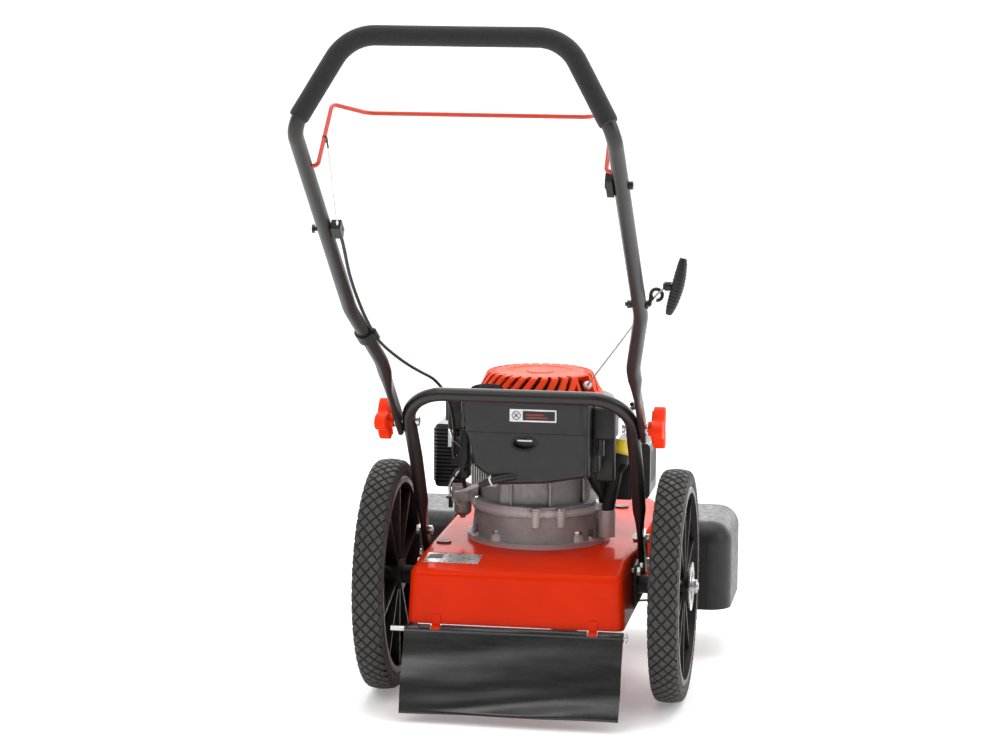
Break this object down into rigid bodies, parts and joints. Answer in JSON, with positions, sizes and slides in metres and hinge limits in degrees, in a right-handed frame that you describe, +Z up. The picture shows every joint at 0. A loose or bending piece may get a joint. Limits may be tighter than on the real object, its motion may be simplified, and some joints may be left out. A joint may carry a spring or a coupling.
{
  "type": "walk-behind string trimmer",
  "caption": "Walk-behind wheeled string trimmer: stamped deck on high wheels, vertical-shaft engine, belt-driven trimmer head, folding tubular handle with brake bail.",
  "frame": {"origin": "on the ground, under the middle of the wheels' axle", "axes": "+X to the operator's right along the axle, +Y forward to the trimmer head, +Z up"},
  "size_m": [0.57, 1.3585, 1.0463],
  "materials": {
    "orange_paint": "gloss",
    "black_plastic": "satin",
    "black_tube": "semi-gloss",
    "zinc_steel": "satin",
    "black_steel": "satin",
    "flap_rubber": "gloss",
    "tyre_rubber": "matte",
    "rim_plastic": "satin",
    "red_plastic": "gloss",
    "foam": "matte",
    "red_wire": "gloss",
    "cable_sheath": "satin",
    "rope": "matte",
    "grip_rubber": "satin",
    "cast_aluminium": "cast",
    "ceramic_white": "gloss",
    "bare_steel": "satin",
    "orange_cover": "gloss",
    "tank_plastic": "satin",
    "yellow_plastic": "gloss",
    "belt_rubber": "matte",
    "cast_iron": "cast",
    "line_nylon": "satin"
  },
  "bodies": {
    "chassis": {"deck": "orange_paint", "deck_plugs": "black_plastic", "lower_frame": "black_tube", "frame_brackets": "zinc_steel", "axle": "zinc_steel", "axle_bearings": "black_steel", "flap_rod": "zinc_steel", "chassis_bolts": "zinc_steel", "cross_plate": "black_steel", "guards": "black_plastic", "engine_sump": "cast_aluminium", "crankcase": "cast_aluminium", "cylinder_block": "cast_aluminium", "cylinder_head": "cast_aluminium", "spark_plug": "ceramic_white", "carburetor": "cast_aluminium", "air_filter": "black_plastic", "muffler": "bare_steel", "muffler_guard": "black_steel", "blower_housing": "black_steel", "starter_cover": "orange_cover", "fuel_tank": "tank_plastic", "oil_filler": "black_plastic", "control_bracket": "zinc_steel", "drive_belt": "belt_rubber", "spindle_housing": "cast_aluminium", "spindle_bearings": "bare_steel", "starter_rope": "rope"},
    "upper_handle": {"handle_tube": "black_tube", "foam_grip": "foam", "cable_stop": "black_steel", "cable_clip": "black_plastic", "bail_stop": "zinc_steel", "rope_guide": "zinc_steel", "handle_bolts": "zinc_steel", "brake_cable": "cable_sheath", "brake_wire": "zinc_steel"},
    "bail": {"bail": "red_wire"},
    "brake_lever": {"brake_lever": "zinc_steel"},
    "wheel_left": {"tyre_left": "tyre_rubber", "rim_left": "rim_plastic", "bushes_left": "zinc_steel"},
    "wheel_right": {"tyre_right": "tyre_rubber", "rim_right": "rim_plastic", "bushes_right": "zinc_steel"},
    "flap": {"flap": "flap_rubber"},
    "crank": {"crankshaft": "bare_steel", "flywheel": "cast_iron", "drive_pulley": "black_steel"},
    "trimmer_head": {"spindle": "bare_steel", "driven_pulley": "black_steel", "trimmer_hub": "black_plastic", "trimmer_lines": "line_nylon", "glide_cap": "black_plastic"},
    "knob_left": {"knob_left": "red_plastic"},
    "knob_right": {"knob_right": "red_plastic"},
    "fuel_cap": {"fuel_cap": "black_plastic"},
    "oil_cap": {"oil_cap": "yellow_plastic"},
    "starter_grip": {"starter_grip": "grip_rubber"},
    "recoil_reel": {"recoil_reel": "black_plastic"}
  },
  "joints": [
    {"name": "handle_fold", "type": "hinge", "parent": "chassis", "child": "upper_handle", "pos_m": [0, -0.10881, 0.43796], "axis": [1, 0, 0], "range_deg": [-126, 0], "deforming": ["brake_cable", "starter_rope"]},
    {"name": "bail_swing", "type": "hinge", "parent": "upper_handle", "child": "bail", "pos_m": [0, -0.62725, 0.86079], "axis": [1, 0, 0], "range_deg": [0, 67], "stiffness_Nm_per_rad": 0.6, "springref_deg": -11.46, "deforming": ["brake_wire"]},
    {"name": "brake_lever_swing", "type": "hinge", "parent": "chassis", "child": "brake_lever", "pos_m": [-0.112, 0.06, 0.374], "axis": [0, 1, 0], "range_deg": [0, 22]},
    {"name": "wheel_left_roll", "type": "hinge", "parent": "chassis", "child": "wheel_left", "pos_m": [-0.222, 0, 0.178], "axis": [1, 0, 0], "continuous": true},
    {"name": "wheel_right_roll", "type": "hinge", "parent": "chassis", "child": "wheel_right", "pos_m": [0.222, 0, 0.178], "axis": [1, 0, 0], "continuous": true},
    {"name": "flap_swing", "type": "hinge", "parent": "chassis", "child": "flap", "pos_m": [0, -0.158, 0.131], "axis": [1, 0, 0], "range_deg": [-75, 0]},
    {"name": "crank_spin", "type": "hinge", "parent": "chassis", "child": "crank", "pos_m": [0, 0.087, 0.25], "axis": [0, 0, 1], "continuous": true},
    {"name": "trimmer_spin", "type": "hinge", "parent": "chassis", "child": "trimmer_head", "pos_m": [0, 0.4, 0.1], "axis": [0, 0, 1], "continuous": true},
    {"name": "knob_left_turn", "type": "hinge", "parent": "upper_handle", "child": "knob_left", "pos_m": [-0.195, -0.10881, 0.43796], "axis": [1, 0, 0], "continuous": true},
    {"name": "knob_right_turn", "type": "hinge", "parent": "upper_handle", "child": "knob_right", "pos_m": [0.195, -0.10881, 0.43796], "axis": [1, 0, 0], "continuous": true},
    {"name": "fuel_cap_turn", "type": "hinge", "parent": "chassis", "child": "fuel_cap", "pos_m": [-0.062, -0.04, 0.47], "axis": [0, 0, 1], "range_deg": [0, 120]},
    {"name": "oil_cap_turn", "type": "hinge", "parent": "chassis", "child": "oil_cap", "pos_m": [0.127, 0.074, 0.367], "axis": [0.1783, 0.2229, 0.9584], "range_deg": [0, 180]},
    {"name": "starter_pull", "type": "slide", "parent": "upper_handle", "child": "starter_grip", "axis": [0.1998, -0.7592, 0.6194], "range_m": [0, 0.6], "stiffness_N_per_m": 8, "springref_m": -0.15, "deforming": ["starter_rope"]},
    {"name": "reel_turn", "type": "hinge", "parent": "chassis", "child": "recoil_reel", "pos_m": [0, 0.087, 0.47], "axis": [0, 0, 1], "range_deg": [-1150, 1150]}
  ],
  "couplings": [
    {"joint": "trimmer_spin", "follows": "crank_spin", "ratio": 0.8},
    {"joint": "brake_lever_swing", "follows": "bail_swing", "ratio": 0.3},
    {"joint": "reel_turn", "follows": "starter_pull", "rad_per_m": 33.333}
  ]
}
